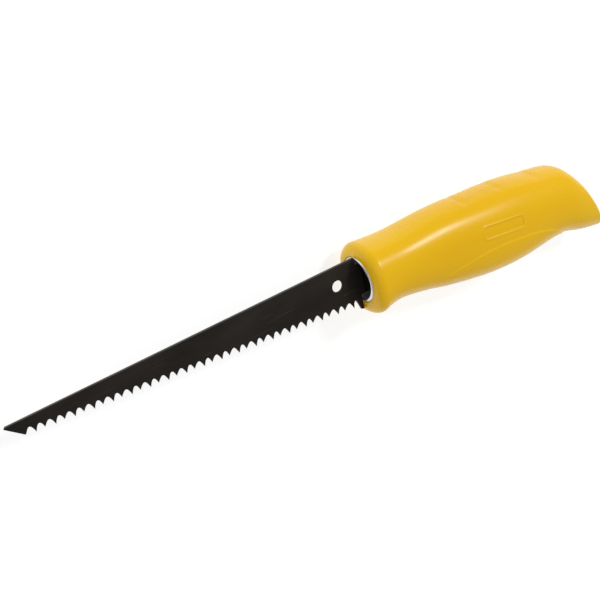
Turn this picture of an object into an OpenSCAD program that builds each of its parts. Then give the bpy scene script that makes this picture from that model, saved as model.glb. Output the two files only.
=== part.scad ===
// Drywall saw: a stiff tapered blade whose tang is pinned between the two halves of a moulded grip.
// +X runs along the blade to its point, +Y from the spine to the teeth, +Z out of the left side face.
// The origin is the centre of the hang hole, half way through the blade.

/* [Blade] */
// Thickness of the blade and its tang
blade_t = 1.2; // [0.9:0.1:1.5]
// Number of teeth between the chisel corner and the heel
tooth_count = 37; // [25:1:45]
// Teeth in every inch of the edge
teeth_per_inch = 6; // [5:1:8]
// Depth of the gullets between the teeth
tooth_depth = 2.9; // [2:0.1:3.4]
// Height of the blade at the chisel corner
tip_h = 7.1; // [5.5:0.1:8.5]
// Height of the blade at its last tooth
heel_h = 22.5; // [18:0.5:27]
// How far the sharpened point reaches past the chisel corner
point_reach = 7.7; // [4:0.1:9.5]
// How far the point lies below the spine
point_drop = 0.9; // [0.5:0.1:1.5]
// Length of the plain heel behind the last tooth
heel_l = 5.1; // [4:0.1:8]
// How far the heel corner hangs below the line of the teeth
heel_drop = 2; // [0:0.1:3]

/* [Hang hole] */
// Radius of the hang hole
hang_hole_r = 2.7; // [2:0.1:3.3]
// From the hang hole to the spine
hang_hole_to_spine = 9.3; // [6:0.1:11]
// From the hang hole to the shoulder of the blade
hang_hole_to_shoulder = 10.8; // [8:0.1:14]

/* [Tang and pins] */
// Length of the tang behind the shoulder
tang_l = 80; // [72:1:96]
// Width of the tang at the shoulder
tang_w = 14; // [11:0.5:16]
// Width of the tang at its end
tang_end_w = 10; // [8:0.5:12]
// From the shoulder to the front pin
front_pin_back = 39; // [36:0.5:41]
// From the shoulder to the rear pin
rear_pin_back = 67; // [62:0.5:70]
// Radius of the two steel pins
pin_r = 2; // [1.5:0.1:2.5]
// Length of the two steel pins
pin_l = 22; // [16:0.5:24]
// Radius of the plastic bosses round the pins
boss_r = 5; // [4.2:0.1:6]

/* [Ferrule and collar] */
// Outer radius of the ferrule
ferrule_r = 11; // [9.2:0.1:12]
// Wall of the ferrule
ferrule_wall = 1.5; // [0.8:0.1:1.8]
// Length of the ferrule
ferrule_l = 9; // [7.5:0.5:11]
// How far the ferrule stands out of the grip
ferrule_proud = 0.4; // [0.2:0.1:1]
// Length of the slotted collar inside the ferrule
collar_l = 6.5; // [4:0.5:7]
// How far the mouth axis lies from the hang hole, towards the teeth
mouth_offset = 1.7; // [0:0.1:3]

/* [Grip] */
// Length of the grip along its underside
grip_l = 136; // [120:1:163]
// Height of the grip at its swell
grip_h = 40; // [36:1:48]
// Width of the grip at its swell
grip_w = 32; // [31:1:38]
// Wall of the grip
grip_wall = 2.6; // [1.8:0.1:3.2]
// Radius of the rounded rim at the mouth
rim_r = 4.5; // [3:0.1:5]
// Radius of the rounded edge at the butt
butt_r = 2.5; // [1.5:0.1:4]

/* [Fits] */
// Clearance between the tang and the pockets that hold it
tang_gap = 0.05; // [0.02:0.01:0.2]
// Radial clearance of the pins, the ferrule and the collar
seat_gap = 0.05; // [0.02:0.01:0.1]

/* [Hidden] */
$fn = 64;
inch = 25.4;
eps = 0.01;

// Blade, worked out from the hang hole
tooth_pitch = inch / teeth_per_inch;
spine_y = -hang_hole_to_spine;
shoulder_x = -hang_hole_to_shoulder;
last_tooth_x = shoulder_x + heel_l;
corner_x = last_tooth_x + tooth_count * tooth_pitch;
corner_y = spine_y + tip_h;
taper = (heel_h - tip_h) / (tooth_count * tooth_pitch);
gullet_steps = 7;
gullet_bow = 2.2;
heel_lead = 2.2;
tang_corner = 3;
tang_hole_gap = 0.15;

// Grip outline, from the mouth to the butt. Each row is one cross-section:
// [top edge's place, top edge's height, bottom edge's place, bottom edge's depth, half width],
// as shares of grip_l, grip_h, grip_l, grip_h and grip_w. Heights count from the mouth axis.
MOUTH = [0.033, 0.402, 0.033, 0.437, 0.497];
LIP = [0.088, 0.398, 0.092, 0.398, 0.494];
NECK = [0.176, 0.38, 0.176, 0.42, 0.463];
FINGER = [0.324, 0.402, 0.324, 0.527, 0.475];
SWELL = [0.471, 0.382, 0.485, 0.617, 0.5];
PALM = [0.618, 0.353, 0.647, 0.63, 0.5];
WAIST = [0.75, 0.283, 0.794, 0.583, 0.481];
FLARE = [0.845, 0.228, 0.893, 0.661, 0.461];
BUTT = [0.886, 0.132, 0.99, 0.731, 0.406];
SECTIONS = [MOUTH, LIP, NECK, FINGER, SWELL, PALM, WAIST, FLARE, BUTT];
last_section = len(SECTIONS) - 1;
section_power = 2.3;
// Twice an odd number, so each half has a flat strip, not an edge, down the middle of its flank to lie on
ring_points = 34;
rings_per_section = 4;
rim_rings = 5;

// Hollow chambers of the grip, as places along SECTIONS. The walls left between them are its ribs.
CHAMBERS = [[1.3, 2.0], [2.2, 3.3], [3.52, 4.8], [5.0, 7.3]];
chamber_steps = 6;

grip_front_x = shoulder_x - ferrule_proud;
mouth_floor_x = shoulder_x - ferrule_l;
ferrule_edge_r = 0.45;

// ---- Blade ----

// y of the line through the tips of the teeth
function tip_line(x) = corner_y + taper * (corner_x - x);

// One gullet and the tooth tip behind it, counted from the chisel corner
function gullet(i) = [
    for (s = [1 : gullet_steps])
        let (u = s / gullet_steps, x = corner_x - (i + u) * tooth_pitch)
            [x, tip_line(x) - tooth_depth * (1 - pow(abs(2 * u - 1), gullet_bow))]
];

module blade_outline() {
    teeth = [for (i = [0 : tooth_count - 1]) each gullet(i)];
    heel = [
        [last_tooth_x - heel_lead / 2, tip_line(last_tooth_x) - tooth_depth],
        [last_tooth_x - heel_lead, tip_line(last_tooth_x) - tooth_depth * 0.8],
        [shoulder_x + heel_lead / 2, tip_line(shoulder_x) + heel_drop * 0.8],
        [shoulder_x, tip_line(shoulder_x) + heel_drop]
    ];
    point = [
        [shoulder_x, spine_y],
        [corner_x + point_reach - point_drop, spine_y],
        [corner_x + point_reach, spine_y + point_drop],
        [corner_x, corner_y]
    ];
    polygon(concat(point, teeth, heel));
}

// Outline of the tang, or of the pocket round it when grown by a clearance
module tang_outline(grow = 0) {
    end_x = shoulder_x - tang_l - grow;
    front = tang_w / 2 + grow;
    back = tang_end_w / 2 + grow;
    translate([0, mouth_offset])
        polygon([
            [shoulder_x + eps, -front],
            [shoulder_x + eps, front],
            [end_x + tang_corner, back],
            [end_x, back - tang_corner],
            [end_x, tang_corner - back],
            [end_x + tang_corner, -back]
        ]);
}

// Repeats its children at both pins
module at_pins() {
    for (back = [front_pin_back, rear_pin_back])
        translate([shoulder_x - back, mouth_offset, 0]) children();
}

module blade() {
    color("#2b2824")
        difference() {
            translate([0, 0, -blade_t / 2])
                linear_extrude(blade_t)
                    union() {
                        blade_outline();
                        tang_outline();
                    }
            cylinder(r = hang_hole_r, h = 2 * blade_t, center = true);
            at_pins() cylinder(r = pin_r + tang_hole_gap, h = 2 * blade_t, center = true);
        }
}

// ---- Grip ----

// Smooth curve through the section values a, b, c, d, at share u of the way from b to c
function smooth(a, b, c, d, u) =
    b + (c - a) * u / 2 + (2 * a - 5 * b + 4 * c - d) * u * u / 2
    + (3 * b - 3 * c + d - a) * u * u * u / 2;

// A section before the first or past the last follows on in a straight line
function section_row(i) =
    i < 0 ? 2 * SECTIONS[0] - SECTIONS[1]
    : i > last_section ? 2 * SECTIONS[last_section] - SECTIONS[last_section - 1]
    : SECTIONS[i];

// The section at place s along the grip: [top point, bottom point, half width], in mm
function section(s) =
    let (
        i = min(floor(s), last_section - 1),
        v = smooth(section_row(i - 1), section_row(i), section_row(i + 1), section_row(i + 2), s - i)
    )
    [
        [grip_front_x - v[0] * grip_l, mouth_offset - v[1] * grip_h],
        [grip_front_x - v[2] * grip_l, mouth_offset + v[3] * grip_h],
        v[4] * grip_w
    ];

function signed_pow(v, p) = sign(v) * pow(abs(v), p);

// Rounded ring on a section, drawn in by inset and moved along the grip's outward direction by shift.
// Its points run from the angle a0 through turn degrees, and 0 is the parting plane at the top.
function ring(sec, inset, shift, a0, turn, count) =
    let (
        mid = (sec[0] + sec[1]) / 2,
        up = (sec[0] - sec[1]) / 2,
        high = norm(up),
        dir = up / high,
        out = [dir[1], -dir[0]],
        p = 2 / section_power
    )
    [
        for (k = [0 : count - 1])
            let (
                a = a0 + turn * k / count,
                along = (high - inset) * signed_pow(cos(a), p),
                side = (sec[2] - inset) * signed_pow(sin(a), p),
                at = mid + along * dir + shift * out
            )
            [at[0], at[1], side]
    ];

// Outer rings of the grip: the rounded rim, the sections, then the rounded butt
function skin_rings(a0, turn, count) = concat(
    [
        for (k = [0 : rim_rings - 1])
            let (a = 90 * k / rim_rings, go = rim_r * cos(a))
                ring(section(0), rim_r * (1 - sin(a)), -go, a0, turn, count)
    ],
    [
        for (k = [0 : last_section * rings_per_section])
            ring(section(k / rings_per_section), 0, 0, a0, turn, count)
    ],
    [
        for (k = [1 : rim_rings])
            let (a = 90 * k / rim_rings)
                ring(section(last_section), butt_r * (1 - cos(a)), butt_r * sin(a), a0, turn, count)
    ]
);

// Inner rings of one hollow chamber. They start half a step round, so no corner lies on the parting plane.
function chamber_rings(span) = [
    for (k = [0 : chamber_steps])
        let (s = span[0] + (span[1] - span[0]) * k / chamber_steps)
            ring(section(s), grip_wall, 0, 180 / ring_points, 360, ring_points)
];

// Closed solid through a list of rings that all hold the same number of points
module loft(rings) {
    n = len(rings[0]);
    last = len(rings) - 1;
    points = [for (r = rings) each r];
    sides = [
        for (i = [0 : last - 1], k = [0 : n - 1])
            let (a = i * n + k, b = i * n + (k + 1) % n)
                each [[a, a + n, b], [b, a + n, b + n]]
    ];
    front = [[for (k = [0 : n - 1]) k]];
    back = [[for (k = [0 : n - 1]) last * n + n - 1 - k]];
    polyhedron(points, concat(sides, front, back), convexity = 6);
}

// Half of the outer skin, on the +Z side of the parting plane
module half_skin() {
    half = ring_points / 2;
    loft(skin_rings(0, 180 * (half + 1) / half, half + 1));
}

module pin_bosses() {
    at_pins() cylinder(r = boss_r, h = 2 * grip_w, center = true);
}

// The left half: a ribbed shell with the ferrule's seat, the tang's pocket and the pins' blind bores
module half_grip() {
    bore_depth = pin_l / 2 + seat_gap;
    difference() {
        half_skin();
        for (span = CHAMBERS)
            difference() {
                loft(chamber_rings(span));
                pin_bosses();
            }
        translate([mouth_floor_x, mouth_offset, 0])
            rotate([0, 90, 0]) cylinder(r = ferrule_r + seat_gap, h = 2 * ferrule_l);
        translate([0, 0, -blade_t / 2 - tang_gap])
            linear_extrude(blade_t + 2 * tang_gap) tang_outline(2 * tang_gap);
        at_pins() cylinder(r = pin_r + seat_gap, h = 2 * bore_depth, center = true);
    }
}

module handle_left() {
    color("#efb70f") half_grip();
}

module handle_right() {
    color("#e2a90c") mirror([0, 0, 1]) half_grip();
}

// ---- Ferrule, collar and pins ----

// Turned ring with a rounded front edge
module ferrule() {
    inner_r = ferrule_r - ferrule_wall;
    color("#d9dadb")
        translate([mouth_floor_x, mouth_offset, 0])
            rotate([0, 90, 0])
                rotate_extrude()
                    union() {
                        translate([inner_r, 0])
                            square([ferrule_wall, ferrule_l - ferrule_edge_r]);
                        translate([inner_r + ferrule_edge_r, 0])
                            square([ferrule_wall - 2 * ferrule_edge_r, ferrule_l]);
                        for (r = [inner_r + ferrule_edge_r, ferrule_r - ferrule_edge_r])
                            translate([r, ferrule_l - ferrule_edge_r]) circle(r = ferrule_edge_r);
                    }
}

// Dark disc that fills the ferrule and centres the tang in its slot
module tang_collar() {
    color("#1d1c1b")
        difference() {
            translate([mouth_floor_x, mouth_offset, 0])
                rotate([0, 90, 0])
                    cylinder(r = ferrule_r - ferrule_wall - seat_gap, h = collar_l);
            translate([0, 0, -blade_t / 2 - tang_gap])
                linear_extrude(blade_t + 2 * tang_gap) tang_outline(2 * tang_gap);
        }
}

module tang_pins() {
    color("#a9abad") at_pins() cylinder(r = pin_r, h = pin_l, center = true);
}

blade();
handle_left();
handle_right();
ferrule();
tang_collar();
tang_pins();
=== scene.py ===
# %% [markdown]
# # A drywall saw
# A drywall saw is a stiff, tapered blade with coarse teeth and a sharp point that is stabbed straight
# through plasterboard. Its grip is a glossy yellow moulding, welded from two halves round the blade's
# tang, with a bright ring in its mouth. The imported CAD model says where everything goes, so it is
# loaded first, and most sizes below are read from it or are the driving sizes it was drawn with. The
# few that differ are pointed out where they come.

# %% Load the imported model
import math

import bmesh
import bpy
import numpy as np
from mathutils import Matrix, Vector


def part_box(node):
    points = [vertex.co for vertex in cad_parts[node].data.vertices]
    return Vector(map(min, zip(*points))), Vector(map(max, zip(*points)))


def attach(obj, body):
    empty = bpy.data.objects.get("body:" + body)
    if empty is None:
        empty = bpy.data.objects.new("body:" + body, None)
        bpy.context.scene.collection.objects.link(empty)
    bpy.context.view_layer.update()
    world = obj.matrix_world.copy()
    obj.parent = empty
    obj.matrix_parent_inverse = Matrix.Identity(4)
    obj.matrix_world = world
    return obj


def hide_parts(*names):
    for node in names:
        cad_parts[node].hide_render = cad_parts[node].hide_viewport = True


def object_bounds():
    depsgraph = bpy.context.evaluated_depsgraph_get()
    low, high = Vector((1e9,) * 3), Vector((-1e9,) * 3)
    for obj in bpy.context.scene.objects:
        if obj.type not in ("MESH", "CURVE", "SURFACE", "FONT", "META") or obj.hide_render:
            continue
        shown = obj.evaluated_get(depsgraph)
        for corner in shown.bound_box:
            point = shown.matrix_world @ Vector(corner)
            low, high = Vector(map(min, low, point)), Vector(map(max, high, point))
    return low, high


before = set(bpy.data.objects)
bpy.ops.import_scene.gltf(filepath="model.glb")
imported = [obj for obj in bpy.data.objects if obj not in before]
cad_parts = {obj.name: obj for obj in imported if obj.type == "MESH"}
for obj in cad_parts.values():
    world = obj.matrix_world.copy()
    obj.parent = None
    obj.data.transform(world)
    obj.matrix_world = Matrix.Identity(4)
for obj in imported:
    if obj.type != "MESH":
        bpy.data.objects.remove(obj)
cad_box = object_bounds()
MM = 0.001
print("CAD box, mm:", [[round(v / MM, 1) for v in corner] for corner in cad_box])

# %% [markdown]
# ## Where things are
# The blade lies in the plane z = 0 with its point towards +X and its teeth towards +Y. The ferrule is
# a ring round the mouth axis, so the middle of its box is a point on that axis. Reading these places
# from the CAD nodes, and not typing them in, keeps the finish on the part if the part changes.

# %% Places read from the CAD nodes
blade_low, blade_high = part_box("blade")
ferrule_low, ferrule_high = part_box("ferrule")
grip_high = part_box("handle_left")[1]
pins_low, pins_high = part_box("tang_pins")
spine_y = blade_low.y
blade_half = blade_high.z
point_x = blade_high.x
shoulder_x = ferrule_high.x
seat_x = ferrule_low.x
axis_y = (ferrule_low.y + ferrule_high.y) / 2
ferrule_r = (ferrule_high.y - ferrule_low.y) / 2
grip_front_x = grip_high.x
pin_radius = 2 * MM
pin_places = (pins_high.x - pin_radius, pins_low.x + pin_radius)
print("mouth axis at y =", round(axis_y / MM, 2), "mm, ferrule radius", round(ferrule_r / MM, 2), "mm")

# %% [markdown]
# ## Camera and light
# A long lens keeps the taper of the blade honest. The camera looks down on the left side of the saw,
# from the spine's side and a little from the point, and it is rolled so that the spine is at the top
# of the view. Three directions fix it: where it stands, which way is up in the view, and how far away
# it is.

# %% Camera
LENS_LENGTH = 84.74
SENSOR_WIDTH = 36.0
camera_place = Vector((273.2, -253.3, 492.2)) * MM
toward_camera = Vector((0.41753, -0.41322, 0.80927)).normalized()
view_up = Vector((-0.40224, -0.88265, -0.24316)).normalized()
view_right = view_up.cross(toward_camera).normalized()
view_up = toward_camera.cross(view_right)
camera_data = bpy.data.cameras.new("camera")
camera_data.lens = LENS_LENGTH
camera_data.sensor_width = SENSOR_WIDTH
camera_data.clip_start = 0.01
camera = bpy.data.objects.new("camera", camera_data)
camera.matrix_world = Matrix.Translation(camera_place) @ Matrix(
    (view_right, view_up, toward_camera)
).transposed().to_4x4()
scene = bpy.context.scene
scene.collection.objects.link(camera)
scene.camera = camera
print("camera is", round(camera_place.length, 3), "m from the hang hole")

# %% [markdown]
# The light is a small studio: a bright even surround, one soft box that draws the long highlight down
# the grip, and two big, weak panels that keep the dark blade readable. A soft box is aimed by turning
# its local -Z axis at the thing it lights.

# %% Studio light
GRIP_HEART = Vector((-60, 0, 10)) * MM


def soft_box(name, direction, distance, width, height, power, tint=(1.0, 1.0, 1.0)):
    """An area light that stands in the given direction from the grip and faces it."""
    light = bpy.data.lights.new(name, "AREA")
    light.shape = "RECTANGLE"
    light.size = width
    light.size_y = height
    light.energy = power
    light.color = tint
    obj = bpy.data.objects.new(name, light)
    way = Vector(direction).normalized()
    obj.location = GRIP_HEART + way * distance
    obj.rotation_euler = way.to_track_quat("Z", "Y").to_euler()
    scene.collection.objects.link(obj)
    return obj


soft_box("key_light", (-0.42, -0.50, 0.78), 0.9, 0.11, 0.17, 3.5)
soft_box("top_panel", (0.5, -0.35, 0.9), 1.3, 0.9, 0.9, 1.6)
soft_box("low_panel", (0.2, 1.0, 0.55), 1.2, 0.8, 0.5, 0.3, (1.0, 0.97, 0.92))

world = bpy.data.worlds.new("studio")
world.use_nodes = True
surround = world.node_tree.nodes["Background"]
surround.inputs["Color"].default_value = (1.0, 1.0, 1.0, 1.0)
surround.inputs["Strength"].default_value = 0.44
scene.world = world
scene.view_settings.view_transform = "Standard"

# %% [markdown]
# ## Materials
# Each finish is a small node tree. The helpers below make a Principled material, a noise pattern on
# Object coordinates stretched along the blade or not, and a bump from any pattern. Object coordinates
# are in metres here, so a scale of 400 gives blotches about 2.5 mm across.

# %% Node helpers


def new_finish(name, metallic, specular):
    """A Principled material with its constants set on the shader's own sockets."""
    material = bpy.data.materials.new(name)
    material.use_nodes = True
    shader = material.node_tree.nodes["Principled BSDF"]
    shader.inputs["Metallic"].default_value = metallic
    shader.inputs["Specular IOR Level"].default_value = specular
    return material, shader


def noise(material, scale, stretch=(1.0, 1.0, 1.0), detail=4.0, roughness=0.55):
    """A noise pattern in Object coordinates. A stretch below 1 draws it out along that axis."""
    nodes, links = material.node_tree.nodes, material.node_tree.links
    place = nodes.new("ShaderNodeTexCoord")
    mapping = nodes.new("ShaderNodeMapping")
    mapping.inputs["Scale"].default_value = stretch
    pattern = nodes.new("ShaderNodeTexNoise")
    pattern.inputs["Scale"].default_value = scale
    pattern.inputs["Detail"].default_value = detail
    pattern.inputs["Roughness"].default_value = roughness
    links.new(place.outputs["Object"], mapping.inputs["Vector"])
    links.new(mapping.outputs["Vector"], pattern.inputs["Vector"])
    return pattern.outputs["Fac"]


def ramp(material, source, stops):
    """A colour ramp over a pattern. Each stop is (position, colour)."""
    node = material.node_tree.nodes.new("ShaderNodeValToRGB")
    material.node_tree.links.new(source, node.inputs["Fac"])
    first, last = node.color_ramp.elements[0], node.color_ramp.elements[1]
    first.position, first.color = stops[0][0], (*stops[0][1], 1.0)
    last.position, last.color = stops[-1][0], (*stops[-1][1], 1.0)
    for position, colour in stops[1:-1]:
        node.color_ramp.elements.new(position).color = (*colour, 1.0)
    return node.outputs["Color"]


def spread(material, source, low, high):
    """Turns a 0 to 1 pattern into a value from low to high."""
    node = material.node_tree.nodes.new("ShaderNodeMapRange")
    node.inputs["To Min"].default_value = low
    node.inputs["To Max"].default_value = high
    material.node_tree.links.new(source, node.inputs["Value"])
    return node.outputs["Result"]


def multiply(material, a, b):
    """The product of two patterns."""
    node = material.node_tree.nodes.new("ShaderNodeMath")
    node.operation = "MULTIPLY"
    material.node_tree.links.new(a, node.inputs[0])
    material.node_tree.links.new(b, node.inputs[1])
    return node.outputs["Value"]


def coordinate(material, axis):
    """One Object coordinate, in metres."""
    place = material.node_tree.nodes.new("ShaderNodeTexCoord")
    split = material.node_tree.nodes.new("ShaderNodeSeparateXYZ")
    material.node_tree.links.new(place.outputs["Object"], split.inputs["Vector"])
    return split.outputs[axis]


def fade(material, source, start, end):
    """1 up to start, 0 beyond end."""
    node = material.node_tree.nodes.new("ShaderNodeMapRange")
    node.inputs["From Min"].default_value = start
    node.inputs["From Max"].default_value = end
    node.inputs["To Min"].default_value = 1.0
    node.inputs["To Max"].default_value = 0.0
    material.node_tree.links.new(source, node.inputs["Value"])
    return node.outputs["Result"]


def blend(material, amount, colour, other):
    """One colour turning into another, given as a plain colour, where the amount is high."""
    node = material.node_tree.nodes.new("ShaderNodeMix")
    node.data_type = "RGBA"
    factor, first = node.inputs[0], next(i for i in node.inputs if i.name == "A" and i.type == "RGBA")
    second = next(i for i in node.inputs if i.name == "B" and i.type == "RGBA")
    second.default_value = (*other, 1.0)
    material.node_tree.links.new(amount, factor)
    material.node_tree.links.new(colour, first)
    return next(o for o in node.outputs if o.type == "RGBA")


def bump(material, shader, source, depth, strength=1.0, onto=None):
    """Bumps the surface by a pattern, with the depth in metres, on top of an earlier bump if given."""
    node = material.node_tree.nodes.new("ShaderNodeBump")
    node.inputs["Strength"].default_value = strength
    node.inputs["Distance"].default_value = depth
    material.node_tree.links.new(source, node.inputs["Height"])
    if onto is not None:
        material.node_tree.links.new(onto, node.inputs["Normal"])
    material.node_tree.links.new(node.outputs["Normal"], shader.inputs["Normal"])
    return node.outputs["Normal"]


# %% [markdown]
# The grip is a glossy moulded plastic. Moulded plastic isn't perfect: its colour drifts a little
# where the melt flowed, its gloss has a faint orange peel, and handling leaves fine rub marks that
# catch the light.

# %% Grip plastic
yellow_grip, shader = new_finish("yellow_grip", 0.0, 0.3)
flow = noise(yellow_grip, 22.0, (0.4, 1.0, 1.0), 2.0)
colour = ramp(yellow_grip, flow, [
    (0.30, (0.840, 0.475, 0.0015)),
    (0.55, (0.880, 0.520, 0.0020)),
    (0.75, (0.905, 0.550, 0.0025)),
])
yellow_grip.node_tree.links.new(colour, shader.inputs["Base Color"])
rubs = noise(yellow_grip, 260.0, (0.25, 1.0, 1.0), 6.0, 0.65)
yellow_grip.node_tree.links.new(spread(yellow_grip, rubs, 0.21, 0.33), shader.inputs["Roughness"])
peel = noise(yellow_grip, 700.0, detail=1.0)
bump(yellow_grip, shader, peel, 0.00002, 0.5)

# %% [markdown]
# The blade has a thin black coat baked on over ground steel. The grinding lines run along the blade
# and show through the coat as faint streaks, and the colour is a warm near-black that is a little
# patchy. A lighter band along the rounded spine is a painted highlight, broken into patches.

# %% Blade coat
black_coat, shader = new_finish("black_coat", 0.0, 0.16)
patches = noise(black_coat, 60.0, (0.5, 1.0, 1.0), 3.0)
colour = ramp(black_coat, patches, [
    (0.30, (0.0110, 0.0086, 0.0066)),
    (0.52, (0.0155, 0.0122, 0.0095)),
    (0.75, (0.0230, 0.0186, 0.0148)),
])
scratches = fade(black_coat, noise(black_coat, 1400.0, (0.03, 1.0, 1.0), 3.0), 0.36, 0.30)
scratches = spread(black_coat, scratches, 0.5, 0.0)
colour = blend(black_coat, scratches, colour, (0.060, 0.055, 0.050))
# painted highlight: a lighter band along the rounded spine edge, broken into patches by noise
painted_spine_highlight = fade(black_coat, coordinate(black_coat, "Y"), spine_y + 0.10 * MM, spine_y + 0.42 * MM)
patchy = spread(black_coat, noise(black_coat, 240.0, (0.3, 1.0, 1.0)), 0.1, 0.9)
painted_spine_highlight = multiply(black_coat, painted_spine_highlight, patchy)
colour = blend(black_coat, painted_spine_highlight, colour, (0.16, 0.15, 0.14))
black_coat.node_tree.links.new(colour, shader.inputs["Base Color"])
streaks = noise(black_coat, 900.0, (0.04, 1.0, 1.0), 4.0, 0.6)
black_coat.node_tree.links.new(spread(black_coat, streaks, 0.34, 0.58), shader.inputs["Roughness"])
grain = noise(black_coat, 1500.0, detail=2.0)
first = bump(black_coat, shader, streaks, 0.00004, 0.6)
bump(black_coat, shader, grain, 0.00002, 0.4, onto=first)

# %% [markdown]
# The ferrule is a turned and polished steel ring, so its marks run round it. The collar behind it is
# a black moulding with a fine spark-eroded grain, and its near-black colour is also painted shade for
# the dark inside of the mouth. The pins are drawn steel rod.

# %% Ferrule, collar and pin finishes
polished_ring, shader = new_finish("polished_ring", 1.0, 0.5)
tarnish = noise(polished_ring, 300.0, detail=3.0)
polished_ring.node_tree.links.new(
    ramp(polished_ring, tarnish, [(0.3, (0.62, 0.60, 0.57)), (0.7, (0.82, 0.81, 0.79))]),
    shader.inputs["Base Color"],
)
turning = noise(polished_ring, 2500.0, (1.0, 0.06, 0.06), 2.0)
polished_ring.node_tree.links.new(spread(polished_ring, turning, 0.20, 0.34), shader.inputs["Roughness"])
bump(polished_ring, shader, turning, 0.00001, 0.4)

# painted shade: the collar's near-black colour also stands in for the deep shade inside the mouth
collar_black_and_shade, shader = new_finish("collar_black_and_shade", 0.0, 0.12)
dust = noise(collar_black_and_shade, 500.0, detail=4.0)
collar_black_and_shade.node_tree.links.new(
    ramp(collar_black_and_shade, dust, [(0.3, (0.0030, 0.0026, 0.0023)), (0.8, (0.0080, 0.0072, 0.0065))]),
    shader.inputs["Base Color"],
)
collar_black_and_shade.node_tree.links.new(spread(collar_black_and_shade, dust, 0.42, 0.6), shader.inputs["Roughness"])
bump(collar_black_and_shade, shader, noise(collar_black_and_shade, 1800.0), 0.00004, 0.6)

drawn_steel, shader = new_finish("drawn_steel", 1.0, 0.5)
draw_marks = noise(drawn_steel, 2000.0, (1.0, 1.0, 0.05), 3.0)
drawn_steel.node_tree.links.new(
    ramp(drawn_steel, draw_marks, [(0.3, (0.42, 0.42, 0.43)), (0.7, (0.58, 0.58, 0.60))]),
    shader.inputs["Base Color"],
)
drawn_steel.node_tree.links.new(spread(drawn_steel, draw_marks, 0.22, 0.4), shader.inputs["Roughness"])
bump(drawn_steel, shader, draw_marks, 0.00001, 0.4)
print("finishes:", [m.name for m in bpy.data.materials])

# %% [markdown]
# ## From bmesh to piece
# Every new piece ends in the same way: merge doubles, turn the faces outwards, make the object, give
# it its finish, and say which body it rides on and which CAD node it stands for.

# %% Finishing a piece


def make_piece(name, bm, material, node, flat_angle=35.0):
    """Makes an object from a bmesh, in place, and ties it to the CAD node it stands for."""
    bmesh.ops.remove_doubles(bm, verts=bm.verts, dist=0.002 * MM)
    bmesh.ops.recalc_face_normals(bm, faces=bm.faces)
    mesh = bpy.data.meshes.new(name)
    bm.to_mesh(mesh)
    open_edges = sum(1 for e in bm.edges if not e.is_manifold)
    bm.free()
    mesh.materials.append(material)
    mesh.shade_smooth()
    mesh.set_sharp_from_angle(angle=math.radians(flat_angle))
    piece = bpy.data.objects.new(name, mesh)
    scene.collection.objects.link(piece)
    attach(piece, "root")
    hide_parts(node)
    counts = len(mesh.vertices), len(mesh.polygons), open_edges
    print(name, "has %d vertices, %d faces and %d open edges" % counts)
    return piece


# %% [markdown]
# ## Grip shape
# The grip is drawn like a boat's hull: a few cross-sections along its length, each a rounded,
# slightly square oval, with a smooth curve through their sizes. A row holds the top edge's place and
# height, the bottom edge's place and depth, and the half width, as shares of the grip's length,
# height and width. The rows are the ones the CAD model was drawn with, except that the second is up
# to 0.6 mm slimmer here, which keeps the light on the rim short. A natural cubic spline runs through
# them here, because a glossy surface shows every jump in curvature.

# %% Cross-sections of the grip
GRIP_LENGTH = 136 * MM
GRIP_HEIGHT = 40 * MM
GRIP_WIDTH = 32 * MM
GRIP_WALL = 2.6 * MM
RIM_RADIUS = 4.5 * MM
BUTT_RADIUS = 2.6 * MM
BUTT_CROWN = 0.8 * MM
OVAL_POWER = 2.3
SECTIONS = [
    (0.033, 0.402, 0.033, 0.437, 0.497),
    (0.088, 0.386, 0.092, 0.391, 0.476),
    (0.176, 0.380, 0.176, 0.420, 0.463),
    (0.324, 0.402, 0.324, 0.527, 0.475),
    (0.471, 0.382, 0.485, 0.617, 0.500),
    (0.618, 0.353, 0.647, 0.630, 0.500),
    (0.750, 0.283, 0.794, 0.583, 0.481),
    (0.845, 0.228, 0.893, 0.661, 0.461),
    (0.886, 0.132, 0.990, 0.731, 0.406),
]


def natural_spline(places, values):
    """A natural cubic spline through (place, value) pairs, as a function. Values may be rows."""
    places = np.array(places, float)
    values = np.array(values, float)
    gap = np.diff(places)
    count = len(places)
    system = np.eye(count)
    right = np.zeros_like(values)
    slope = np.diff(values, axis=0) / (gap if values.ndim == 1 else gap[:, None])
    for i in range(1, count - 1):
        system[i, i - 1:i + 2] = gap[i - 1], 2 * (gap[i - 1] + gap[i]), gap[i]
        right[i] = 6 * (slope[i] - slope[i - 1])
    bend = np.linalg.solve(system, right)

    def at(place):
        i = int(np.clip(np.searchsorted(places, place) - 1, 0, count - 2))
        h, a, b = gap[i], places[i + 1] - place, place - places[i]
        return (
            (bend[i] * a ** 3 + bend[i + 1] * b ** 3) / (6 * h)
            + (values[i] / h - bend[i] * h / 6) * a
            + (values[i + 1] / h - bend[i + 1] * h / 6) * b
        )

    return at


section_at = natural_spline(range(len(SECTIONS)), SECTIONS)
LAST_SECTION = len(SECTIONS) - 1


def section(place):
    """Top point, bottom point and half width of the cross-section at a place along the rows."""
    top_back, top_high, low_back, low_deep, half_wide = section_at(place)
    top = Vector((grip_front_x - top_back * GRIP_LENGTH, axis_y - top_high * GRIP_HEIGHT, 0))
    low = Vector((grip_front_x - low_back * GRIP_LENGTH, axis_y + low_deep * GRIP_HEIGHT, 0))
    return top, low, half_wide * GRIP_WIDTH


def signed_power(value, power):
    return math.copysign(abs(value) ** power, value)


def oval(top, low, half_wide, inset=0.0, shift=0.0, power=OVAL_POWER):
    """Points of half an oval, from its top on the parting plane round the left flank to its bottom."""
    middle, up = (top + low) / 2, (top - low) / 2
    high = up.length
    up.normalize()
    out = Vector((up.y, -up.x, 0))
    return [
        middle + out * shift
        + up * (high - inset) * signed_power(math.cos(a), 2 / power)
        + Vector((0, 0, (half_wide - inset) * abs(math.sin(a)) ** (2 / power)))
        for a in ROUND
    ]


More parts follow.
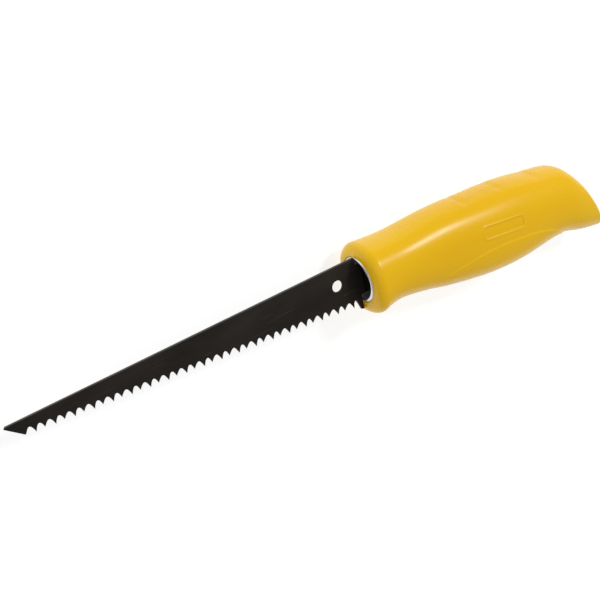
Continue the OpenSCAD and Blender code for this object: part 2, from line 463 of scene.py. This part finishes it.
SEAM_STEP = 0.5
ARCS = [(SEAM_STEP, 40, 36), (40, 64, 14), (64, 130, 100), (130, 180 - SEAM_STEP, 28)]
ROUND = [0.0] + [
    math.radians(start + (end - start) * i / count) for start, end, count in ARCS for i in range(count)
] + [math.radians(180 - SEAM_STEP), math.pi]
print("one cross-section has", len(ROUND), "points")

# %% [markdown]
# ## What stands out of the grip
# Three things are moulded into the surface. Across the top are three shallow thumb grooves, steep at
# the front and fading to the back. The lower flank carries a finger panel that stands up by less than
# half a millimetre behind a curved border. Between them is a small label panel, a sunken rounded
# rectangle with a fine rim, left bare. All three are real geometry: a function says how far each
# point of the skin moves along its normal, from its distance behind the mouth, its depth below the
# mouth axis and its distance from the parting plane.

# %% Relief of the grip
THUMB_GROOVES = [57 * MM, 77.5 * MM, 99.5 * MM]
GROOVE_DEPTH = 0.65 * MM
GROOVE_REACH = 9.5 * MM
GROOVE_BOW = 9.0
GROOVE_LIP = 0.7 * MM
GROOVE_RUNOUT = 4.5 * MM
FINGER_BORDER = natural_spline(
    [28 * MM, 46 * MM, 64 * MM, 82 * MM, 95 * MM, 105 * MM, 114 * MM],
    [13.5 * MM, 10.3 * MM, 8.7 * MM, 10.0 * MM, 12.7 * MM, 17.5 * MM, 25 * MM],
)
FINGER_RISE = 0.4 * MM
FINGER_STEP = 0.45 * MM
LABEL_MIDDLE = (71.8 * MM, 1.2 * MM)
LABEL_HALF = (11.6 * MM, 3.1 * MM)
LABEL_CORNER = 1.6 * MM
LABEL_TILT = math.radians(6.5)
LABEL_SINK = 0.26 * MM
LABEL_RIM = 0.20 * MM


def ease(value, start, end):
    """0 before start, 1 after end, and smooth between."""
    t = min(max((value - start) / (end - start), 0.0), 1.0)
    return t * t * (3 - 2 * t)


def groove_depth(back, side):
    """How deep the thumb grooves are at a point. They bow back a little towards their ends."""
    depth = 0.0
    for middle in THUMB_GROOVES:
        bow = side * side * GROOVE_BOW
        gap = back - middle - bow
        lip = ease(gap, -GROOVE_LIP, 0.1 * MM) * (1 - ease(gap, 0.2 * MM, GROOVE_RUNOUT))
        depth += lip * (1 - ease(side, GROOVE_REACH * 0.45, GROOVE_REACH))
    return depth * GROOVE_DEPTH


def label_shape(back, below):
    """How far inside the label panel's rounded outline a point is. It is negative outside."""
    across, down = back - LABEL_MIDDLE[0], below - LABEL_MIDDLE[1]
    u = abs(across * math.cos(LABEL_TILT) + down * math.sin(LABEL_TILT)) - LABEL_HALF[0]
    v = abs(down * math.cos(LABEL_TILT) - across * math.sin(LABEL_TILT)) - LABEL_HALF[1]
    beyond = math.hypot(max(u + LABEL_CORNER, 0), max(v + LABEL_CORNER, 0))
    return LABEL_CORNER - beyond - min(max(u + LABEL_CORNER, v + LABEL_CORNER), 0)


def relief(point):
    """How far a point of the skin stands out along its normal."""
    back, below, side = grip_front_x - point.x, point.y - axis_y, abs(point.z)
    rise = 0.0
    if below < 0:
        rise -= groove_depth(back, side)
    if 26 * MM < back < 116 * MM and below > 0:
        step = ease(below - FINGER_BORDER(back), -FINGER_STEP, FINGER_STEP)
        rise += FINGER_RISE * step * ease(back, 30 * MM, 42 * MM) * (1 - ease(back, 108 * MM, 116 * MM))
    if side > 8 * MM:
        inside = label_shape(back, below)
        rise -= LABEL_SINK * ease(inside, 0.3 * MM, 0.9 * MM)
        rise += LABEL_RIM * ease(inside, -0.7 * MM, 0.0) * (1 - ease(inside, 0.1 * MM, 0.6 * MM))
    return rise


print("label panel is", round(2 * LABEL_HALF[0] / MM, 1), "by", round(2 * LABEL_HALF[1] / MM, 1), "mm")

# %% [markdown]
# ## Building one half of the grip
# One half is a single sheet that is drawn through a list of half ovals by extruding its edge again
# and again: over the butt, along the skin, round the rim, into the ferrule's seat, through the neck
# round the tang, and back along the inside wall. Filling the one open loop left on the parting plane
# closes it into a real, hollow shell. Extruding an edge keeps the points in order, which makes each
# new loop easy to place.

# %% Loops of one half
SKIN_RINGS = 300
ROUNDING_RINGS = 12
CAP_RINGS = 10
HOLLOW_RINGS = 40
HOLLOW_START = 1.35
HOLLOW_END = 7.3
CLEARANCE = 0.05 * MM
TANG_PASS_HIGH = 8.4 * MM
TANG_PASS_WIDE = 1.5 * MM
TANG_PASS_DEEP = 4 * MM


def outside_loops():
    """Loops from the middle of the butt to the rim of the mouth."""
    top, low, half_wide = section(LAST_SECTION)
    middle = (top + low) / 2
    last = oval(top, low, half_wide)
    before = oval(*section(LAST_SECTION - 0.05))
    loops = []
    for i in range(ROUNDING_RINGS):
        a = math.pi / 2 * (1 - i / ROUNDING_RINGS)
        loops.append([
            p + (p - q).normalized() * BUTT_RADIUS * math.sin(a)
            + (middle - p).normalized() * BUTT_RADIUS * (1 - math.cos(a))
            for p, q in zip(last, before)
        ])
    edge, crown = loops[0], sum(loops[0], Vector()) / len(loops[0])
    crown.z = 0
    crown.x -= BUTT_CROWN
    shares = [(i + 0.1) / CAP_RINGS for i in range(CAP_RINGS)]
    loops = [
        [crown.lerp(p, share) + Vector((BUTT_CROWN * share * share, 0, 0)) for p in edge]
        for share in shares
    ] + loops
    for i in range(SKIN_RINGS + 1):
        loops.append(oval(*section(LAST_SECTION * (1 - i / SKIN_RINGS))))
    top, low, half_wide = section(0)
    for i in range(1, ROUNDING_RINGS + 1):
        a = math.pi / 2 * i / ROUNDING_RINGS
        inset, shift = RIM_RADIUS * (1 - math.cos(a)), -RIM_RADIUS * math.sin(a)
        loops.append(oval(top, low, half_wide, inset, shift))
    return loops


def disc(x, half_high, half_wide):
    """A half ellipse square to the mouth axis."""
    top, low = Vector((x, axis_y - half_high, 0)), Vector((x, axis_y + half_high, 0))
    return oval(top, low, half_wide, power=2.0)


def inside_loops():
    """Loops from the ferrule's seat through the neck and back along the hollow to the butt."""
    seat_r = ferrule_r + CLEARANCE
    loops = [
        disc(grip_front_x, seat_r, seat_r),
        disc(seat_x, seat_r, seat_r),
        disc(seat_x, TANG_PASS_HIGH, TANG_PASS_WIDE),
        disc(seat_x - TANG_PASS_DEEP, TANG_PASS_HIGH, TANG_PASS_WIDE),
    ]
    for i in range(HOLLOW_RINGS + 1):
        place = HOLLOW_START + (HOLLOW_END - HOLLOW_START) * i / HOLLOW_RINGS
        loops.append(oval(*section(place), inset=GRIP_WALL))
    top, low, half_wide = section(HOLLOW_END)
    loops.append(oval(top, low, half_wide, inset=half_wide * 0.6))
    return loops


# %% [markdown]
# The first loop is a row of edges between new points. Each extrusion copies the row, and the copy's
# points are then moved to the next loop. The two end loops are closed with a fan face each, and the
# parting plane with one big face that is cut into triangles.

# %% Half shell


def add_row(bm, points):
    """A row of new points joined by edges."""
    verts = [bm.verts.new(p) for p in points]
    return verts, [bm.edges.new(pair) for pair in zip(verts, verts[1:])]


def extrude_row(bm, verts, edges, points):
    """Extrudes a row of edges and moves the new row to the given points."""
    made = bmesh.ops.extrude_edge_only(bm, edges=edges)["geom"]
    fresh = {v for v in made if isinstance(v, bmesh.types.BMVert)}
    new_verts = []
    for v, p in zip(verts, points):
        twin = next(e.other_vert(v) for e in v.link_edges if e.other_vert(v) in fresh)
        twin.co = p
        new_verts.append(twin)
    new_edges = [bm.edges.get(pair) for pair in zip(new_verts, new_verts[1:])]
    return new_verts, new_edges


def tube_boss(bm, x, bore_r, outer_r, z_low, z_high):
    """A plastic tube round a pin, from the tang to the inside of the wall."""
    profile = [(bore_r, z_low), (outer_r, z_low), (outer_r, z_high), (bore_r, z_high)]
    centre = Vector((x, axis_y, 0))
    verts = [bm.verts.new(centre + Vector((r, 0, z))) for r, z in profile]
    edges = [bm.edges.new((verts[i], verts[(i + 1) % 4])) for i in range(4)]
    bmesh.ops.spin(
        bm, geom=verts + edges, cent=centre, axis=(0, 0, 1),
        angle=2 * math.pi, steps=32, use_merge=True, use_duplicate=False,
    )


def build_half():
    """The left half as one closed sheet, with its relief and its parting face."""
    bm = bmesh.new()
    outside = outside_loops()
    verts, edges = add_row(bm, outside[0])
    rows = [verts]
    for points in outside[1:]:
        verts, edges = extrude_row(bm, verts, edges, points)
        rows.append(verts)
    skin = rows[CAP_RINGS + ROUNDING_RINGS - 4:-ROUNDING_RINGS + 2]
    bm.normal_update()
    moves = []
    for row in skin:
        for v in row:
            way = v.normal.copy()
            if way.dot(v.co - Vector((v.co.x, SEAM_MIDDLE_Y, 0))) < 0:
                way.negate()
            if abs(v.co.z) < 1e-7:
                way.z = 0
            moves.append((v, way.normalized() * relief(v.co)))
    for v, move in moves:
        v.co += move
    for row in rows:
        for v in (row[0], row[-1]):
            v.co.y += math.copysign(SEAM_DEPTH, SEAM_MIDDLE_Y - v.co.y)
    for points in inside_loops():
        verts, edges = extrude_row(bm, verts, edges, points)
        rows.append(verts)
    caps = [bm.faces.new(rows[0]), bm.faces.new(rows[-1])]
    rim = [e for e in bm.edges if e.is_boundary]
    filled = bmesh.ops.triangle_fill(bm, edges=rim, use_beauty=True, use_dissolve=False)
    bmesh.ops.triangulate(bm, faces=caps)
    print("parting face is made of", len(filled["geom"]), "faces and edges")
    return bm


SEAM_DEPTH = 0.05 * MM
SEAM_MIDDLE_Y = axis_y + 5 * MM
BOSS_BORE = 2.05 * MM
BOSS_RADIUS = 5 * MM
BOSS_TOP = GRIP_WIDTH / 2 - GRIP_WALL * 0.7


def add_bosses(bm):
    """Puts a boss round each of the two pins."""
    for x in pin_places:
        tube_boss(bm, x, BOSS_BORE, BOSS_RADIUS, blade_half + CLEARANCE, BOSS_TOP)


left = build_half()
add_bosses(left)
right = left.copy()
bmesh.ops.mirror(right, geom=right.verts[:] + right.edges[:] + right.faces[:], axis="Z", merge_dist=-1)
outside_half = [v for v in right.verts if v.co.z > 1e-7]
bmesh.ops.delete(right, geom=outside_half, context="VERTS")
make_piece("grip_left_half", left, yellow_grip, "handle_left")
make_piece("grip_right_half", right, yellow_grip, "handle_right")

# %% [markdown]
# ## Blade
# The blade is stamped from strip, so it starts as one flat outline: spine, point, teeth, heel and
# tang. The gullets are arches and the teeth between them are points. The teeth are a tenth of a
# millimetre deeper here than in the CAD model, and their gullets are narrower. Then it is given
# thickness, its teeth are bent left and right in turn, which is called the set and keeps the saw from
# jamming, and its point is ground to an edge.

# %% Blade sizes
TEETH = 37
PITCH = 25.4 / 6 * MM
TOOTH_DEPTH = 3.0 * MM
GULLET_POWER = 1.9
GULLET_STEPS = 10
TIP_HEIGHT = 7.1 * MM
HEEL_HEIGHT = 22.5 * MM
HEEL_LENGTH = 5.1 * MM
HEEL_DROP = 2.0 * MM
HOLE_RADIUS = 2.7 * MM
POINT_DROP = 0.9 * MM
TANG_WIDTH = 14 * MM
TANG_END_WIDTH = 10 * MM
SET = 0.62 * MM
last_tooth_x = shoulder_x + HEEL_LENGTH
corner_x = last_tooth_x + TEETH * PITCH
corner_y = spine_y + TIP_HEIGHT
taper = (HEEL_HEIGHT - TIP_HEIGHT) / (TEETH * PITCH)


def tip_line(x):
    """The line through the tips of the teeth."""
    return corner_y + taper * (corner_x - x)


def gullet(number):
    """The arch behind one tooth and the tip at its far end."""
    arch = []
    for i in range(1, GULLET_STEPS + 1):
        u = i / GULLET_STEPS
        x = corner_x - (number + u) * PITCH
        arch.append((x, tip_line(x) - TOOTH_DEPTH * (1 - abs(2 * u - 1) ** GULLET_POWER)))
    return arch


def blade_outline():
    """The flat outline of the blade, as (x, y) pairs, from the shoulder round the point to the tang."""
    shoulder_y = tip_line(shoulder_x) + HEEL_DROP
    points = [(shoulder_x, spine_y), (point_x - POINT_DROP, spine_y), (point_x, spine_y + POINT_DROP)]
    points += [(corner_x, corner_y)]
    for number in range(TEETH):
        points += gullet(number)
    root = tip_line(last_tooth_x) - TOOTH_DEPTH
    points += [(last_tooth_x - 0.6 * MM, root + 0.9 * MM), (last_tooth_x - 1.2 * MM, root)]
    points += [(last_tooth_x - 2.2 * MM, root + 0.4 * MM)]
    points += [(shoulder_x + 1.4 * MM, shoulder_y - 0.3 * MM)]
    points += [(shoulder_x, shoulder_y)]
    end_x, half, end_half = blade_low.x, TANG_WIDTH / 2, TANG_END_WIDTH / 2
    chamfer = 3 * MM
    points += [(shoulder_x, axis_y + half), (end_x + chamfer, axis_y + end_half)]
    points += [(end_x, axis_y + end_half - chamfer), (end_x, axis_y - end_half + chamfer)]
    points += [(end_x + chamfer, axis_y - end_half), (shoulder_x, axis_y - half)]
    return points


print("toothed edge is", round(TEETH * PITCH / MM, 1), "mm long")

# %% [markdown]
# The flat outline is cut by a line along the roots of the teeth and one half way up them, and by
# lines beside the point, so that bending and grinding move only what they should. Extruding the cut
# face gives both sides of the blade at once.

# %% Blade mesh
GRIND_WIDTH = 1.3 * MM
GRIND_THINNING = 0.93
TIP_THINNING = 0.62
SPINE_ROUNDING = 0.22 * MM


def cut_by_line(bm, start, end):
    """Cuts every face along the line through two points, square to the blade."""
    way = Vector((end[0] - start[0], end[1] - start[1], 0))
    bmesh.ops.bisect_plane(
        bm, geom=bm.verts[:] + bm.edges[:] + bm.faces[:], dist=1e-7,
        plane_co=(start[0], start[1], 0), plane_no=(way.y, -way.x, 0),
    )


def tooth_share(v):
    """0 at the root of a tooth and 1 at its tip, for the toothed part only."""
    if not last_tooth_x - 0.1 * MM < v.x < corner_x - 0.4 * PITCH:
        return 0.0
    return min(max(1 - (tip_line(v.x) - v.y) / TOOTH_DEPTH, 0.0), 1.0)


def grind_share(v):
    """0 away from the sharpened front edge and 1 on it."""
    edge = Vector((point_x - corner_x, spine_y + POINT_DROP - corner_y, 0)).normalized()
    inward = Vector((edge.y, -edge.x, 0))
    distance = abs((Vector((v.x, v.y, 0)) - Vector((corner_x, corner_y, 0))).dot(inward))
    if v.x < corner_x - 1.5 * GRIND_WIDTH:
        return 0.0
    return min(max(1 - distance / GRIND_WIDTH, 0.0), 1.0)


blade_bm = bmesh.new()
corners = [blade_bm.verts.new((x, y, -blade_half)) for x, y in blade_outline()]
blade_bm.faces.new(corners)
for share in (0.0, 0.5):
    rise = TOOTH_DEPTH * (1 - share)
    start = (corner_x, tip_line(corner_x) - rise)
    cut_by_line(blade_bm, start, (last_tooth_x, tip_line(last_tooth_x) - rise))
edge_way = Vector((point_x - corner_x, spine_y + POINT_DROP - corner_y)).normalized()
corner, square = Vector((corner_x, corner_y)), Vector((edge_way.y, -edge_way.x)) * GRIND_WIDTH
inner = min(corner + square, corner - square, key=lambda p: p.x)
cut_by_line(blade_bm, inner, inner + edge_way)
made = bmesh.ops.extrude_face_region(blade_bm, geom=blade_bm.faces[:])["geom"]
bmesh.ops.translate(blade_bm, verts=[v for v in made if isinstance(v, bmesh.types.BMVert)],
                    vec=(0, 0, 2 * blade_half))
spine_edges = [
    e for e in blade_bm.edges
    if all(abs(v.co.y - spine_y) < 1e-6 for v in e.verts)
    and abs(e.verts[0].co.z - e.verts[1].co.z) < 1e-6
]
bmesh.ops.bevel(
    blade_bm, geom=spine_edges, offset=SPINE_ROUNDING, affect="EDGES", segments=3, profile=0.5,
    material=-1, clamp_overlap=True,
)
for v in blade_bm.verts:
    tooth, ground = tooth_share(v.co), grind_share(v.co)
    if tooth > 0:
        number = round((corner_x - v.co.x) / PITCH)
        lean = SET if number % 2 else -SET
        v.co.z = v.co.z * (1 - TIP_THINNING * tooth ** 1.6) + lean * tooth ** 1.2
    v.co.z *= 1 - GRIND_THINNING * ground
uneven = [f for f in blade_bm.faces if len(f.verts) > 4 or abs(f.normal.z) < 0.999]
bmesh.ops.triangulate(blade_bm, faces=uneven, ngon_method="BEAUTY")
blade = make_piece("saw_blade", blade_bm, black_coat, "blade", 24.0)

# %% [markdown]
# The hang hole and the two pin holes are drilled with a Boolean, as a punch would. The modifier is
# applied straight away, so the finished mesh holds the holes and the punches can go.

# %% Holes in the blade
HOLE_CHAMFER = 0.12 * MM
PIN_HOLE_RADIUS = 2.15 * MM
PIN_HOLE_CHAMFER = 0.1 * MM


def punch(target, x, y, radius, chamfer):
    """Drills a round hole with a small countersink on both faces."""
    bm = bmesh.new()
    profile = [
        (0, -blade_half * 2), (radius + chamfer * 2, -blade_half * 2), (radius + chamfer, -blade_half),
        (radius, -blade_half + chamfer), (radius, blade_half - chamfer), (radius + chamfer, blade_half),
        (radius + chamfer * 2, blade_half * 2), (0, blade_half * 2),
    ]
    verts = [bm.verts.new((x + r, y, z)) for r, z in profile]
    edges = [bm.edges.new(pair) for pair in zip(verts, verts[1:])]
    bmesh.ops.spin(bm, geom=verts + edges, cent=(x, y, 0), axis=(0, 0, 1), angle=2 * math.pi, steps=64,
                   use_merge=True, use_duplicate=False)
    bmesh.ops.remove_doubles(bm, verts=bm.verts, dist=1e-7)
    bmesh.ops.recalc_face_normals(bm, faces=bm.faces)
    mesh = bpy.data.meshes.new("punch")
    bm.to_mesh(mesh)
    bm.free()
    tool = bpy.data.objects.new("punch", mesh)
    scene.collection.objects.link(tool)
    drill = target.modifiers.new("hole", "BOOLEAN")
    drill.operation = "DIFFERENCE"
    drill.solver = "EXACT"
    drill.object = tool
    cut = bpy.data.meshes.new_from_object(target.evaluated_get(bpy.context.evaluated_depsgraph_get()))
    target.modifiers.clear()
    target.data = cut
    bpy.data.objects.remove(tool)


punch(blade, 0.0, 0.0, HOLE_RADIUS, HOLE_CHAMFER)
for pin_x in pin_places:
    punch(blade, pin_x, axis_y, PIN_HOLE_RADIUS, PIN_HOLE_CHAMFER)
blade.data.shade_smooth()
blade.data.set_sharp_from_angle(angle=math.radians(24))
print("blade now has", len(blade.data.polygons), "faces")

# %% [markdown]
# ## Ferrule
# The ring is turned from tube: a well rounded front edge, a straight wall and a small chamfer where
# it enters the grip. Spinning one outline round the mouth axis makes it, with the last step merged
# onto the first.

# %% Ferrule ring
ferrule_bm = bmesh.new()
wall, flare, bead = 1.5 * MM, 1.3 * MM, 0.18 * MM
outer, inner_r = ferrule_r, ferrule_r - wall
outline = [(seat_x, inner_r), (seat_x, outer - 0.3 * MM), (seat_x + 0.3 * MM, outer)]
for i in range(13):
    a = math.pi / 2 * i / 12
    outline.append((shoulder_x - flare + flare * math.sin(a), outer - flare + flare * math.cos(a)))
for i in range(9):
    a = math.pi / 2 * i / 8
    outline.append((shoulder_x - bead + bead * math.cos(a), inner_r + bead - bead * math.sin(a)))
verts = [ferrule_bm.verts.new((x, axis_y + r, 0)) for x, r in outline]
edges = [ferrule_bm.edges.new((verts[i], verts[(i + 1) % len(verts)])) for i in range(len(verts))]
bmesh.ops.spin(ferrule_bm, geom=verts + edges, cent=(0, axis_y, 0), axis=(1, 0, 0), angle=2 * math.pi,
               steps=160, use_merge=True, use_duplicate=False)
make_piece("ferrule_ring", ferrule_bm, polished_ring, "ferrule", 40.0)

# %% [markdown]
# ## Pieces that keep their CAD shape
# The collar and the pins are plain turned shapes that the CAD model already holds exactly, so they
# only get their finishes.

# %% Collar and pins
for node, finish in (("tang_collar", collar_black_and_shade), ("tang_pins", drawn_steel)):
    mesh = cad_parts[node].data
    mesh.materials.clear()
    mesh.materials.append(finish)
    print(node, "wears", finish.name)

# %% [markdown]
# ## Floor
# A plain pale floor lies just under the lowest point of the saw. It glows a little, like the top of a
# light table, so that shadows on it stay faint. It isn't part of the object.

# %% Floor
floor_bm = bmesh.new()
bmesh.ops.create_grid(floor_bm, x_segments=1, y_segments=1, size=6.0)
bmesh.ops.translate(floor_bm, verts=floor_bm.verts, vec=(0, 0, cad_box[0].z - 0.05 * MM))
floor_mesh = bpy.data.meshes.new("floor")
floor_bm.to_mesh(floor_mesh)
floor_bm.free()
floor = bpy.data.objects.new("floor", floor_mesh)
scene.collection.objects.link(floor)
floor_paint, shader = new_finish("floor_paint", 0.0, 0.1)
mottle = noise(floor_paint, 3.0)
floor_paint.node_tree.links.new(
    ramp(floor_paint, mottle, [(0.3, (0.33, 0.33, 0.33)), (0.7, (0.35, 0.35, 0.35))]),
    shader.inputs["Base Color"],
)
shader.inputs["Emission Color"].default_value = (1.0, 1.0, 1.0, 1.0)
shader.inputs["Emission Strength"].default_value = 0.78
shader.inputs["Roughness"].default_value = 0.9
floor_mesh.materials.append(floor_paint)
print("floor is at z =", round((cad_box[0].z - 0.05 * MM) / MM, 2), "mm")

# %% Finish
bpy.context.view_layer.update()
